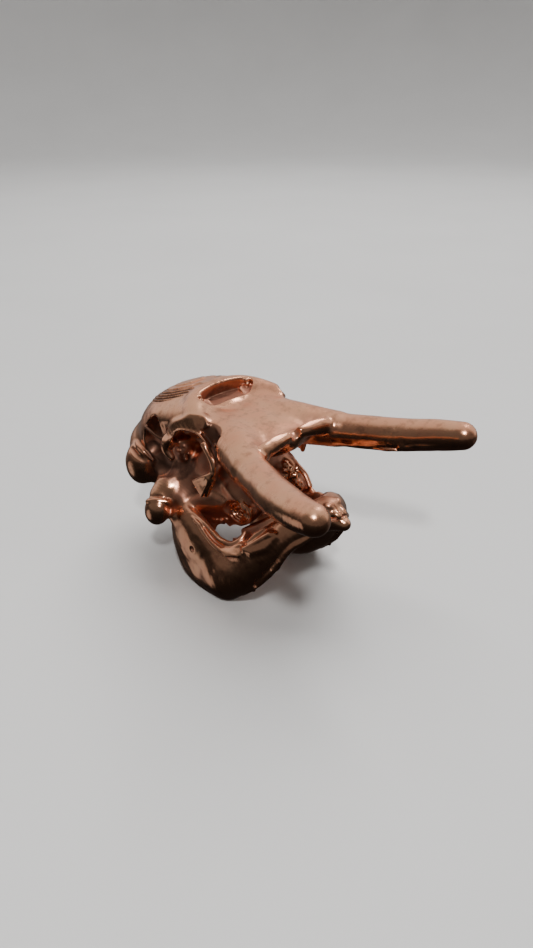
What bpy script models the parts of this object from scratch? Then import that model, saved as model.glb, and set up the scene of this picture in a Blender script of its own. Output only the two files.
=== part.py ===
"""A small copper casting of an elephant skull with its lower jaw, lying on the jaw's back corners.

Every form is placed in the skull's own pose, with its tooth rows level, as (side, front, up) in
millimetres from the middle of the two occipital condyles. The forms are pressed together and carved
like clay in a block of distances, whose zero surface becomes a mesh. The meshes are thinned, tipped
back into the resting pose, facing -Y, and cut flat where they meet the floor at z = 0.
"""

import math

import bmesh
import bpy
import numpy as np
import openvdb

MM = 0.001

# Driving dimensions, in millimetres and degrees.
TIP_BACK = 42.6  # how far the skull is tipped back from level tooth rows
REST_HEIGHT = 14.4  # the condyles' height above the floor
REST_BACK = 27.06  # how far the condyles lie behind the middle of the whole
TUSK_ROOT_RADIUS = 3.7
TUSK_TIP_RADIUS = 2.9
TUSK_SEAM = (14.1, 46.0, -9.3)  # where the tusk leaves its socket
GAP = 0.36  # between pieces that touch
CELL = 0.4  # of the block of distances

# Triangles that each kind of piece is thinned to.
CRANIUM_TRIANGLES = 9000
MANDIBLE_TRIANGLES = 4800
TUSK_TRIANGLES = 560
MOLAR_TRIANGLES = 380

BRIGHT_COPPER = (0.78, 0.42, 0.30, 1.0)
DARK_COPPER = (0.62, 0.30, 0.20, 1.0)


def smooth_min(a, b, blend):
    """The nearer of two distances, rounded over where they differ by less than blend."""
    share = np.clip(0.5 + 0.5 * (b - a) / blend, 0.0, 1.0)
    return b + (a - b) * share - blend * share * (1.0 - share)


class Ellipsoid:
    """An ellipsoid with radii along side, front and up, its front lifted by lift degrees."""

    def __init__(self, centre, radii, lift=0.0):
        self.centre, self.radii, self.lift = centre, radii, math.radians(lift)
        reach = max(radii)
        self.low = [c - reach for c in centre]
        self.high = [c + reach for c in centre]

    def __call__(self, points):
        side, front, up = (p - c for p, c in zip(points, self.centre))
        cos, sin = math.cos(self.lift), math.sin(self.lift)
        local = side, front * cos + up * sin, up * cos - front * sin
        near = np.sqrt(sum((p / r) ** 2 for p, r in zip(local, self.radii)))
        slope = np.sqrt(sum((p / r**2) ** 2 for p, r in zip(local, self.radii)))
        return near * (near - 1.0) / np.maximum(slope, 1e-6)


def spline(points, steps=5):
    """Points on a smooth curve through the given ones."""
    ends = [points[0]] + list(points) + [points[-1]]
    ends = [np.array(p, float) for p in ends]
    curve = []
    for a, b, c, d in zip(ends, ends[1:], ends[2:], ends[3:]):
        for t in np.arange(steps) / steps:
            bend = (2 * a - 5 * b + 4 * c - d) * t**2 + (3 * b - a - 3 * c + d) * t**3
            curve.append(0.5 * (2 * b + (c - a) * t + bend))
    return curve + [ends[-1]]


class Limb:
    """A round, tapered limb along a smooth curve. flat squeezes it along side, front and up."""

    def __init__(self, points, radii, flat=(1.0, 1.0, 1.0)):
        self.flat = flat
        stations = spline([(*p, r) for p, r in zip(points, radii)])
        self.stations = [(s[:3] / flat, s[3]) for s in stations]
        places = np.array([s[:3] for s in stations])
        reach = max(radii) * max(flat)
        self.low, self.high = places.min(0) - reach, places.max(0) + reach

    def __call__(self, points):
        points = [p / f for p, f in zip(points, self.flat)]
        nearest = None
        for (a, ra), (b, rb) in zip(self.stations, self.stations[1:]):
            along = b - a
            offset = [p - c for p, c in zip(points, a)]
            t = np.clip(sum(o * l for o, l in zip(offset, along)) / along.dot(along), 0.0, 1.0)
            gap = np.sqrt(sum((o - l * t) ** 2 for o, l in zip(offset, along))) - (ra + (rb - ra) * t)
            nearest = gap if nearest is None else np.minimum(nearest, gap)
        return nearest * min(self.flat)


class Clay:
    """Distances to a surface on a grid over one half of the skull, which the other half mirrors."""

    MARGIN = 3.0
    LOW, HIGH = (-2.0, -16.0, -36.0), (28.0, 72.0, 27.0)

    def __init__(self, cell=CELL):
        self.cell = cell
        self.axes = [np.arange(round(a / cell), round(b / cell) + 1) * cell for a, b in zip(self.LOW, self.HIGH)]
        self.field = np.full([len(a) for a in self.axes], 2 * self.MARGIN, np.float32)

    def window(self, form, room):
        spans = []
        for axis, low, high in zip(self.axes, form.low, form.high):
            spans.append(slice(*np.searchsorted(axis, (low - room, high + room))))
        points = np.meshgrid(*(a[s] for a, s in zip(self.axes, spans)), indexing="ij", sparse=True)
        return tuple(spans), [p.astype(np.float32) for p in points]

    def add(self, form, blend=1.0):
        cells, points = self.window(form, blend + self.MARGIN)
        self.field[cells] = smooth_min(self.field[cells], form(points), blend)

    def cut(self, form, blend=0.6):
        cells, points = self.window(form, blend + self.MARGIN)
        self.field[cells] = -smooth_min(-self.field[cells], form(points), blend)

    def without(self, field, gap=GAP):
        """This clay, carved back to a gap from another field."""
        rest = Clay(self.cell)
        rest.field = np.maximum(self.field, gap - field)
        return rest

    def within(self, field):
        """The part of this clay inside another field."""
        rest = Clay(self.cell)
        rest.field = np.maximum(self.field, field)
        return rest

    def mesh(self, name, mirrored):
        """The zero surface as a Blender mesh in millimetres, in the skull's own pose."""
        field, first = self.field, self.axes[0][0]
        if mirrored:
            field = field[np.searchsorted(self.axes[0], -0.5 * self.cell) :]
            first = -(len(field) - 1) * self.cell
            field = np.concatenate([field[:0:-1], field])
        grid = openvdb.FloatGrid(float(2 * self.MARGIN))
        grid.copyFromArray(np.ascontiguousarray(field, np.float32))
        points, _, quads = grid.convertToPolygons(isovalue=0.0, adaptivity=0.0)
        points = points * self.cell + (first, self.axes[1][0], self.axes[2][0])
        points[:, 1] *= -1
        mesh = bpy.data.meshes.new(name)
        mesh.from_pydata(points, [], quads[:, ::-1])
        mesh.update()
        return mesh


def beyond_seam(clay, room=6.5):
    """Distance to the region of a tusk beyond its seam."""
    line = [np.array(TUSK_SEAM), np.array((17.8, 54.0, -14.7)), np.array((24.0, 71.0, -24.0))]
    ahead = (line[1] - line[0]) / np.linalg.norm(line[1] - line[0])
    points = np.meshgrid(*clay.axes, indexing="ij", sparse=True)
    behind = -sum((p - c) * a for p, c, a in zip(points, line[0], ahead))
    around = Limb(line, [room] * 3)(points)
    return np.maximum(behind, around).astype(np.float32)


def add_tusk(clay):
    """A blunt tusk, bowed a little, blended into its socket."""
    line = [(9.4, 36.8, -2.4), (13.7, 45.0, -8.6), (17.8, 54.0, -14.7), (20.6, 61.4, -18.9), (21.8, 66.2, -21.4)]
    clay.add(Limb(line, [3.2, TUSK_ROOT_RADIUS, 3.6, 3.3, TUSK_TIP_RADIUS]), 1.2)


def add_braincase(clay):
    clay.add(Ellipsoid((0, 11, 10.5), (13.3, 12.5, 11.4)))
    clay.add(Ellipsoid((5.6, 12.5, 12.2), (7.4, 10.4, 7.4)), 3.0)
    # Occiput: a bulge on each side of the midline, and a ball at each outer corner.
    clay.add(Ellipsoid((7.5, 3.0, 9.5), (7.0, 6.5, 9.0)), 2.5)
    clay.add(Ellipsoid((12.8, 2.6, 8.6), (4.0, 6.4, 4.8), lift=25), 1.0)
    # Base of the skull, its side wall and the occipital condyles.
    clay.add(Ellipsoid((0, 14, 0), (9, 13.5, 7)), 3.0)
    clay.add(Ellipsoid((6.8, 18.5, -3.5), (5.0, 8.5, 7.0)), 2.5)
    clay.add(Ellipsoid((3.2, -2.0, 0.8), (2.7, 3.2, 3.2)), 1.0)
    # Root of the cheek arch, ending in a broken knob.
    clay.add(Limb([(7, 13, 3), (12, 12.2, 0.6), (16.5, 10.8, -2.4)], [6, 3.8, 2.9]), 3.0)
    clay.add(Limb([(8, 15, -3), (12.4, 13.4, -4.6)], [4.5, 3.2]), 2.0)
    clay.add(Ellipsoid((18.6, 9.2, -4.6), (2.6, 4.2, 3.2), lift=12), 0.7)


def add_face(clay):
    # Forehead, down to the brow over the nasal opening.
    clay.add(Ellipsoid((0, 21.5, 12.0), (12.6, 11, 6.5), lift=-22), 4.0)
    clay.add(Ellipsoid((8.2, 25.5, 9.4), (5.0, 7.5, 4.6), lift=-25), 2.0)
    crest = [(0, 27.4, 13.4), (6, 28.0, 12.4), (9.5, 30.0, 10.0), (11.6, 32.6, 6.6)]
    clay.add(Limb(crest, [3.1, 3.0, 2.6, 2.3]), 1.5)
    brow = [(11.6, 32.6, 6.4), (12.6, 29.5, 7.6), (13.0, 25, 8.6), (13.4, 21.4, 8.0)]
    clay.add(Limb(brow, [2.3, 2.4, 2.2, 1.7]), 1.0)
    # A broad plate, sunk along the middle, between the two tusk sockets.
    clay.add(Ellipsoid((0, 33, 1.8), (12, 13, 4.4), lift=-41), 2.5)
    clay.add(Ellipsoid((0, 38.6, -2.4), (9, 7.0, 2.6), lift=-41), 1.5)
    clay.add(Limb([(7.0, 31, 2.6), (9.2, 37.3, -2.0), (12.8, 43.4, -7.2)], [5.0, 4.8, 3.9]), 2.5)
    clay.add(Limb([(0, 43.4, -5.4), (3, 44.7, -5.2), (9, 44.4, -6.0)], [1.2, 1.2, 1.6]), 1.2)
    # Upper jaw, and the wing of bone behind it.
    clay.add(Ellipsoid((0, 25.5, -3.5), (11.0, 8.0, 8.5)), 3.0)
    clay.add(Ellipsoid((6.2, 26, -10.5), (4.3, 6.4, 5.4)), 2.0)
    clay.add(Limb([(8.6, 28.0, -8.0), (8.6, 29.2, -12.0), (8.0, 30.2, -15.4)], [1.8, 1.4, 1.0]), 1.0)
    clay.add(Limb([(7.5, 14, -4.5), (8.2, 14.2, -9.5), (8.6, 15, -13)], [4.6, 3.8, 2.4]), 2.0)


def cut_openings(clay):
    # Hollow of the temple, opening forwards under the hooked process into the eye socket.
    clay.cut(Ellipsoid((15.4, 14.2, 11.6), (5.6, 6.0, 3.0), lift=40), 0.6)
    clay.cut(Limb([(15.0, 12.5, 9.5), (14.6, 15.5, 5.6), (14.6, 20.5, 1.8)], [2.2, 2.8, 3.6]), 1.2)
    clay.cut(Ellipsoid((14.5, 27.0, 1.2), (6.0, 7.2, 5.8), lift=-12), 0.8)
    # Nasal opening.
    clay.cut(Ellipsoid((0, 29.8, 11.0), (7.9, 2.1, 6.5), lift=-40), 0.6)
    # Nape: the great foramen, and the hollow above it for the nape's ligament.
    clay.cut(Limb([(0, -6, 2.6), (0, 3, 4.2)], [1.9, 1.8]), 0.6)
    clay.cut(Ellipsoid((0, -3.0, 13), (3.6, 7.0, 7.5), lift=-15), 3.0)
    # Palate.
    clay.cut(Ellipsoid((0, 24, -14.5), (3.0, 11, 5.0)), 1.2)


def add_eye_rim(clay):
    """The hooked process behind the eye, and the front rim down to the cheek arch's broken front root."""
    clay.add(Limb([(13.4, 21.8, 8.0), (14.4, 19.8, 6.8), (14.2, 19.6, 4.4)], [1.7, 1.3, 0.8]), 0.6)
    rim = [(13.2, 32.6, 5.2), (14.0, 34.4, 1.4), (14.0, 33.6, -3.0), (14.4, 30.4, -5.4)]
    clay.add(Limb(rim, [1.3, 0.8, 0.7, 1.0]), 0.8)
    clay.add(Limb([(14.4, 31, -4.8), (14.8, 25.4, -4.0)], [1.1, 0.6]), 0.5)
    clay.add(Limb([(14.4, 31, -4.8), (15.0, 27.4, -7.4)], [1.1, 0.6]), 0.5)
    clay.add(Ellipsoid((14.7, 28.4, -5.3), (0.7, 2.2, 1.5), lift=20), 0.5)


def mandible_clay():
    clay = Clay()
    # Joint head, and the broad, bowed blade below it.
    clay.add(Ellipsoid((13.5, 11.0, -7.6), (3.6, 2.4, 2.2)))
    ramus = [(14.4, 12.6, -9.4), (14.8, 12.2, -15.5), (13.8, 13.6, -22.5)]
    clay.add(Limb(ramus, [4.6, 8.0, 8.0], flat=(0.38, 1, 1)), 1.5)
    corner = [(12.6, 7.0, -14), (11.2, 4.8, -19.5), (11.2, 8.5, -23), (11.6, 14, -25.5)]
    clay.add(Limb(corner, [3.0, 5.0, 5.4, 5.2]), 2.5)
    # Front edge of the blade.
    coronoid = [(14.0, 17.4, -10.6), (14.6, 20.6, -15.4), (14.4, 23.4, -20.2), (13.0, 26.5, -21.8)]
    clay.add(Limb(coronoid, [1.0, 1.1, 1.2, 1.4]), 0.8)
    # Body, meeting its other half at the chin.
    body = [(12.8, 15.5, -24.6), (12.4, 21, -26.2), (10.6, 28, -24.6), (7.8, 35, -23.2), (3.4, 41, -22.4), (0, 43, -22.4)]
    clay.add(Limb(body, [5.6, 4.9, 4.5, 3.8, 3.5, 3.5], flat=(0.8, 1, 1)), 2.0)
    clay.add(Limb([(0, 42, -23), (0, 44.6, -24.8), (0, 46.2, -26.4)], [3.2, 2.3, 1.5]), 1.5)
    clay.add(Ellipsoid((1.0, 43.9, -22.2), (1.7, 1.8, 1.9)), 0.6)
    clay.cut(Ellipsoid((0, 35, -18.5), (3.6, 8.5, 3.2)), 1.2)
    clay.cut(Ellipsoid((0, 20, -23.5), (6.0, 16, 12)), 1.2)
    return clay


def molar_clay(line, radii):
    clay = Clay()
    clay.add(Limb(line, radii, flat=(0.66, 1, 1)))
    return clay


def pieces():
    """Every piece's clay, and whether one mesh holds both of its sides."""
    skull = Clay()
    add_braincase(skull)
    add_face(skull)
    add_tusk(skull)
    cut_openings(skull)
    add_eye_rim(skull)
    upper = molar_clay([(7.8, 20.5, -14.2), (7.0, 25, -14.6), (6.2, 29.0, -14.4)], [2.4, 2.8, 2.4])
    lower = molar_clay([(9.2, 22, -20.3), (8.2, 28, -20.4), (6.8, 34, -20.3)], [2.6, 2.8, 2.4])
    tusk = beyond_seam(skull)
    cranium = skull.without(tusk).without(upper.field)
    mandible = mandible_clay().without(lower.field).without(cranium.field).without(upper.field)
    return {
        "cranium": (cranium, True, CRANIUM_TRIANGLES, BRIGHT_COPPER),
        "mandible": (mandible, True, MANDIBLE_TRIANGLES, DARK_COPPER),
        "tusk": (skull.within(tusk), False, TUSK_TRIANGLES, BRIGHT_COPPER),
        "molar_upper": (upper, False, MOLAR_TRIANGLES, DARK_COPPER),
        "molar_lower": (lower.without(upper.field), False, MOLAR_TRIANGLES, DARK_COPPER),
    }


def thinned(mesh, triangles):
    """The mesh collapsed to about this many triangles."""
    obj = bpy.data.objects.new("clay", mesh)
    bpy.context.scene.collection.objects.link(obj)
    thin = obj.modifiers.new("thin", "DECIMATE")
    thin.ratio = triangles / (2 * len(mesh.polygons))
    thin.use_collapse_triangulate = True
    found = bpy.data.meshes.new_from_object(obj.evaluated_get(bpy.context.evaluated_depsgraph_get()))
    bpy.data.objects.remove(obj)
    return found


def keep_largest(bm):
    """Drops every piece but the one with the most faces."""
    left, groups = set(bm.verts), []
    while left:
        group, fresh = set(), [left.pop()]
        while fresh:
            vert = fresh.pop()
            group.add(vert)
            for edge in vert.link_edges:
                other = edge.other_vert(vert)
                if other in left:
                    left.remove(other)
                    fresh.append(other)
        groups.append(group)
    groups.sort(key=len)
    bmesh.ops.delete(bm, geom=[v for group in groups[:-1] for v in group], context="VERTS")


def settled(mesh):
    """The mesh tipped back into the resting pose, cut flat at the floor, in metres."""
    cos, sin = math.cos(math.radians(TIP_BACK)), math.sin(math.radians(TIP_BACK))
    bm = bmesh.new()
    bm.from_mesh(mesh)
    keep_largest(bm)
    for vert in bm.verts:
        side, back, up = vert.co
        vert.co = (side, back * cos + up * sin + REST_BACK, up * cos - back * sin + REST_HEIGHT)
    everything = bm.verts[:] + bm.edges[:] + bm.faces[:]
    cut = bmesh.ops.bisect_plane(bm, geom=everything, plane_co=(0, 0, 0), plane_no=(0, 0, -1), clear_outer=True)
    rims = [e for e in cut["geom_cut"] if isinstance(e, bmesh.types.BMEdge)]
    if rims:
        bmesh.ops.holes_fill(bm, edges=rims)
    bmesh.ops.triangulate(bm, faces=bm.faces)
    bmesh.ops.recalc_face_normals(bm, faces=bm.faces)
    bmesh.ops.scale(bm, vec=(MM, MM, MM), verts=bm.verts)
    bm.to_mesh(mesh)
    bm.free()
    return mesh


def copper(name, colour):
    material = bpy.data.materials.new(name)
    material.use_nodes = True
    shader = material.node_tree.nodes["Principled BSDF"]
    shader.inputs["Base Color"].default_value = colour
    shader.inputs["Metallic"].default_value = 1.0
    shader.inputs["Roughness"].default_value = 0.28
    return material


def add_object(name, mesh, colour):
    mesh.materials.clear()
    mesh.materials.append(copper(name, colour))
    obj = bpy.data.objects.new(name, mesh)
    bpy.context.scene.collection.objects.link(obj)


def mirror_of(mesh):
    other = mesh.copy()
    for vert in other.vertices:
        vert.co.x *= -1
    other.flip_normals()
    return other


def main():
    for obj in list(bpy.data.objects):
        bpy.data.objects.remove(obj)
    for name, (clay, mirrored, triangles, colour) in pieces().items():
        mesh = settled(thinned(clay.mesh(name, mirrored), triangles))
        if mirrored:
            add_object(name, mesh, colour)
        else:
            add_object(f"{name}_left", mesh, colour)
            add_object(f"{name}_right", mirror_of(mesh), colour)


main()
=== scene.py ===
"""The looks of the copper elephant skull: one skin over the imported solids, its copper, floor and light.

The figurine is one lump of plated metal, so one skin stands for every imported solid. It is made as the
solids are, of forms pressed together and carved in a block of distances, on a finer grid and with the
edges, hollows, ridges and grown nodules that the solids leave plainer or out. Every form is placed in the
skull's own pose, with its tooth rows level, as (side, front, up) in millimetres from the middle of the
occipital condyles. The near side in the photograph is the right one, and the left mirrors it.
"""

import math

import bmesh
import bpy
import numpy as np
import openvdb
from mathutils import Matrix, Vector


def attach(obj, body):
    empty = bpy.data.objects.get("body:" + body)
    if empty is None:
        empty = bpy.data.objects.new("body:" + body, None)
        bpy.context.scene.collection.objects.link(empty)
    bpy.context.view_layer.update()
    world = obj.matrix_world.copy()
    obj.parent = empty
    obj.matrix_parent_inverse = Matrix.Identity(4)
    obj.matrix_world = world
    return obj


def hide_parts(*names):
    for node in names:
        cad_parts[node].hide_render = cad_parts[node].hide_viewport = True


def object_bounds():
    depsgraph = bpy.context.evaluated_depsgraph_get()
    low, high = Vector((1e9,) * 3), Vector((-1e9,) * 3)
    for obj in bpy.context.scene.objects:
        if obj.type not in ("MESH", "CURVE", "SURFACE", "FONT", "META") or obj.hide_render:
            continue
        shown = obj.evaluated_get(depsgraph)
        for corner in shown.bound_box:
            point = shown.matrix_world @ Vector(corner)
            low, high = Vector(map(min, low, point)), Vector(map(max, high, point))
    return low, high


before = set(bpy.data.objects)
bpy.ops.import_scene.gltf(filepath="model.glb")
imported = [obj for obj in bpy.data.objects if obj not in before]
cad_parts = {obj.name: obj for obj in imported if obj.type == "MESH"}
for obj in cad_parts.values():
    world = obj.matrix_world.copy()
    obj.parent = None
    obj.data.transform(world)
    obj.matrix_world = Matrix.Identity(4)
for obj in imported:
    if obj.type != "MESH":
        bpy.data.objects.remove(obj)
cad_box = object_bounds()

MM = 0.001

# The pose and sizes that the solids have, in millimetres and degrees.
TIP_BACK = 42.6
REST_HEIGHT = 14.4
REST_BACK = 27.06
TUSK_ROOT_RADIUS = 3.7
TUSK_TIP_RADIUS = 2.9

CELL = 0.2  # of the block of distances
SEED = 7

# The terraces that printing in layers left on the crown, in millimetres.
LAYER = 0.42
LAYER_AXIS = (0.36, 0.93)  # which way the layers rise, as front and up
CROWN = (0, 19.2, 18.5)
CROWN_REACH = (10.6, 10.4)  # to the side and to the front

# The ripples of the plating: height and length.
WAVES = (0.05, 3.1)
GRAINS = (0.025, 1.1)
TUSK_WAVES = (0.12, 5.3)

# How rough the copper is: polished, and what mottling, brushing and dull places add.
POLISHED = 0.10
MOTTLED = 0.16
BRUSHED = 0.20
DULLED = 0.24

# The photograph's camera, in millimetres in the row frame, and its view in pixels.
CAMERA_PLACE = (-88.085, -96.21, 105.83)
CAMERA_LOOKS = (0.5828, 0.6286, -0.5150)
TOWARD_CAMERA = (0.583, 0.811, -0.047)  # in the skull's own pose
IMAGE_HEIGHT = 948
FOCAL_PIXELS = 660
SENSOR = 36.0

# The surroundings that the metal mirrors, as azimuth and elevation in degrees.
BRIGHT_SIDE = (127, 22)
LIT_GROUND = (-141, -32)  # a faint pool of light below the horizon
LAMPS_FACE = (0, 0, 0.025)  # the middle of the figurine, in metres

# The floor, in metres: flat up to its reach, then bent up into a wall.
FLOOR_REACH = 0.96
FLOOR_BEND = 0.5
WALL_TOP = 1.6
FLOOR_SIDES = 64


def smooth_min(a, b, blend):
    """The nearer of two distances, rounded over where they differ by less than blend."""
    share = np.clip(0.5 + 0.5 * (b - a) / blend, 0.0, 1.0)
    return b + (a - b) * share - blend * share * (1.0 - share)


class Ellipsoid:
    """An ellipsoid with radii along side, front and up, its front lifted by lift degrees."""

    def __init__(self, centre, radii, lift=0.0):
        self.centre, self.radii, self.lift = centre, radii, math.radians(lift)
        reach = max(radii)
        self.low = [c - reach for c in centre]
        self.high = [c + reach for c in centre]

    def __call__(self, points):
        side, front, up = (p - c for p, c in zip(points, self.centre))
        cos, sin = math.cos(self.lift), math.sin(self.lift)
        local = side, front * cos + up * sin, up * cos - front * sin
        near = np.sqrt(sum((p / r) ** 2 for p, r in zip(local, self.radii)))
        slope = np.sqrt(sum((p / r**2) ** 2 for p, r in zip(local, self.radii)))
        return near * (near - 1.0) / np.maximum(slope, 1e-6)


def spline(points, steps=8):
    """Points on a smooth curve through the given ones."""
    ends = [points[0]] + list(points) + [points[-1]]
    ends = [np.array(p, float) for p in ends]
    curve = []
    for a, b, c, d in zip(ends, ends[1:], ends[2:], ends[3:]):
        for t in np.arange(steps) / steps:
            bend = (2 * a - 5 * b + 4 * c - d) * t**2 + (3 * b - a - 3 * c + d) * t**3
            curve.append(0.5 * (2 * b + (c - a) * t + bend))
    return curve + [ends[-1]]


class Limb:
    """A round, tapered limb along a smooth curve. flat squeezes it along side, front and up."""

    def __init__(self, points, radii, flat=(1.0, 1.0, 1.0)):
        self.flat = flat
        stations = spline([(*p, r) for p, r in zip(points, radii)])
        self.stations = [(s[:3] / flat, s[3]) for s in stations]
        places = np.array([s[:3] for s in stations])
        reach = max(radii) * max(flat)
        self.low, self.high = places.min(0) - reach, places.max(0) + reach

    def __call__(self, points):
        points = [p / f for p, f in zip(points, self.flat)]
        nearest = None
        for (a, ra), (b, rb) in zip(self.stations, self.stations[1:]):
            along = b - a
            offset = [p - c for p, c in zip(points, a)]
            t = np.clip(sum(o * l for o, l in zip(offset, along)) / along.dot(along), 0.0, 1.0)
            gap = np.sqrt(sum((o - l * t) ** 2 for o, l in zip(offset, along))) - (ra + (rb - ra) * t)
            nearest = gap if nearest is None else np.minimum(nearest, gap)
        return nearest * min(self.flat)


class Plate:
    """A thin, flat sheet with straight edges, fanned out from its first corner."""

    def __init__(self, corners, thick):
        self.corners = [np.array(c, float) for c in corners]
        self.half = 0.5 * thick
        places = np.array(self.corners)
        self.low, self.high = places.min(0) - self.half, places.max(0) + self.half

    def __call__(self, points):
        first = self.corners[0]
        gaps = [self.to_triangle(points, first, b, c) for b, c in zip(self.corners[1:], self.corners[2:])]
        return np.minimum.reduce(gaps) - self.half

    @staticmethod
    def to_triangle(points, a, b, c):
        normal = np.cross(b - a, c - a)
        normal /= np.linalg.norm(normal)
        over, rim = True, np.inf
        for start, end in ((a, b), (b, c), (c, a)):
            along = end - start
            offset = [p - s for p, s in zip(points, start)]
            t = np.clip(sum(o * l for o, l in zip(offset, along)) / along.dot(along), 0.0, 1.0)
            rim = np.minimum(rim, np.sqrt(sum((o - l * t) ** 2 for o, l in zip(offset, along))))
            over = over & (sum(o * i for o, i in zip(offset, np.cross(normal, along))) > 0)
        flat = np.abs(sum((p - s) * n for p, s, n in zip(points, a, normal)))
        return np.where(over, flat, rim)


class Strip:
    """A thick sheet whose inner face runs through two smooth curves."""

    def __init__(self, one, other, thick):
        self.half = 0.5 * thick
        one, other = (np.array(spline(line, steps=3)) for line in (one, other))
        outward = np.cross(np.gradient(one + other, axis=0), other - one)
        outward *= np.sign(outward[:, :1]) * self.half / np.linalg.norm(outward, axis=1, keepdims=True)
        one, other = one + outward, other + outward
        self.corners = []
        for a, b, c, d in zip(one, one[1:], other[1:], other):
            self.corners += [(a, b, c), (a, c, d)]
        places = np.concatenate([one, other])
        self.low, self.high = places.min(0) - self.half, places.max(0) + self.half

    def __call__(self, points):
        return np.minimum.reduce([Plate.to_triangle(points, *c) for c in self.corners]) - self.half


class Block:
    """A straight-sided block: a flat, convex face, and what lies behind it down to a depth."""

    def __init__(self, corners, into, depth):
        corners = np.array(corners, float)
        into = np.array(into, float) / np.linalg.norm(into)
        middle = corners.mean(0)
        face = np.cross(corners[1] - corners[0], corners[2] - corners[0])
        face *= -math.copysign(1.0, face.dot(into)) / np.linalg.norm(face)
        self.sides = [(middle, face), (middle + into * depth, into)]
        for a, b in zip(corners, np.roll(corners, -1, axis=0)):
            out = np.cross(b - a, into)
            out *= math.copysign(1.0, out.dot(a - middle)) / np.linalg.norm(out)
            self.sides.append((a, out))
        places = np.concatenate([corners, corners + into * depth])
        self.low, self.high = places.min(0), places.max(0)

    def __call__(self, points):
        gaps = [sum((p - a) * n for p, a, n in zip(points, place, out)) for place, out in self.sides]
        return np.maximum.reduce(gaps)


class Clay:
    """Distances to a surface on a grid over one half of the skull, which the other half mirrors."""

    MARGIN = 2.0
    LOW, HIGH = (-2.0, -16.0, -36.0), (28.0, 72.0, 27.0)

    def __init__(self):
        self.axes = [
            (np.arange(round(a / CELL), round(b / CELL) + 1) * CELL).astype(np.float32)
            for a, b in zip(self.LOW, self.HIGH)
        ]
        self.field = np.full([len(a) for a in self.axes], 2 * self.MARGIN, np.float32)

    def window(self, form, room):
        """The cells within room of a form, and their places along each axis."""
        spans = []
        for axis, low, high in zip(self.axes, form.low, form.high):
            spans.append(slice(*np.searchsorted(axis, (low - room, high + room))))
        points = np.meshgrid(*(a[s] for a, s in zip(self.axes, spans)), indexing="ij", sparse=True)
        return tuple(spans), points

    def add(self, form, blend=1.0):
        cells, points = self.window(form, blend + self.MARGIN)
        self.field[cells] = smooth_min(self.field[cells], form(points).astype(np.float32), blend)

    def cut(self, form, blend=0.6):
        cells, points = self.window(form, blend + self.MARGIN)
        self.field[cells] = -smooth_min(-self.field[cells], form(points).astype(np.float32), blend)

    def ridge(self, points, radius, blend):
        """A thin raised line that tapers off at both ends."""
        radii = [radius] * len(points)
        radii[0] = radii[-1] = 0.5 * radius
        self.add(Limb(points, radii), blend)

    def groove(self, points, radius, blend):
        """A furrow that tapers off at both ends."""
        radii = [radius] * len(points)
        radii[0] = radii[-1] = 0.4 * radius
        self.cut(Limb(points, radii), blend)

    def face(self, corners, toward, depth, blend):
        """A flat face with these corners: the clay is pared down to it, or built up to it."""
        corners = [np.array(c, float) for c in corners]
        out = np.cross(corners[1] - corners[0], corners[2] - corners[0])
        out *= math.copysign(depth, out.dot(toward)) / np.linalg.norm(out)
        self.add(Plate([c - 0.5 * out for c in corners], depth), blend)
        self.cut(Plate([c + out for c in corners], 2 * depth), blend)

    def at(self, places):
        """The distances at these places, which lie along the first axis of an array."""
        steps = []
        for value, axis in zip((np.abs(places[:, 0]), places[:, 1], places[:, 2]), self.axes):
            steps.append(np.clip((value - axis[0]) / CELL, 0, len(axis) - 1.001))
        low = [s.astype(np.int64) for s in steps]
        part = [s - i for s, i in zip(steps, low)]
        found = np.zeros(len(places), np.float32)
        for corner in range(8):
            index, weight = [], 1.0
            for k in range(3):
                ahead = corner >> k & 1
                index.append(low[k] + ahead)
                weight = weight * (part[k] if ahead else 1 - part[k])
            found += weight * self.field[tuple(index)]
        return found


def add_tusk(clay):
    """A blunt tusk, bowed a little, blended into its socket."""
    line = [(9.4, 36.8, -2.4), (13.7, 45.0, -8.6), (17.8, 54.0, -14.7)]
    line += [(20.6, 61.4, -18.9), (21.8, 66.2, -21.4)]
    clay.add(Limb(line, [3.2, TUSK_ROOT_RADIUS, 3.6, 3.3, TUSK_TIP_RADIUS]), 1.2)


def add_braincase(clay):
    clay.add(Ellipsoid((0, 11, 10.5), (13.3, 12.5, 11.4)))
    clay.add(Ellipsoid((5.6, 12.5, 12.2), (7.4, 10.4, 7.4)), 3.0)
    # Occiput: a bulge on each side of the midline, and a ball at each outer corner.
    clay.add(Ellipsoid((7.5, 3.0, 9.5), (7.0, 6.5, 9.0)), 2.5)
    clay.add(Ellipsoid((12.8, 2.6, 8.6), (4.0, 6.4, 4.8), lift=25), 1.0)
    # Base of the skull, its side wall and the occipital condyles.
    clay.add(Ellipsoid((0, 14, 0), (9, 13.5, 7)), 3.0)
    clay.add(Ellipsoid((6.8, 18.5, -3.5), (5.0, 8.5, 7.0)), 2.5)
    clay.add(Ellipsoid((3.2, -2.0, 0.8), (2.7, 3.2, 3.2)), 1.0)
    # Root of the cheek arch, ending in a broken knob.
    clay.add(Limb([(7, 13, 3), (12, 12.2, 0.6), (16.5, 10.8, -2.4)], [6, 3.8, 2.9]), 3.0)
    clay.add(Limb([(8, 15, -3), (12.4, 13.4, -4.6)], [4.5, 3.2]), 2.0)
    clay.add(Ellipsoid((18.6, 9.2, -4.6), (2.6, 4.2, 3.2), lift=12), 0.7)


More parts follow.
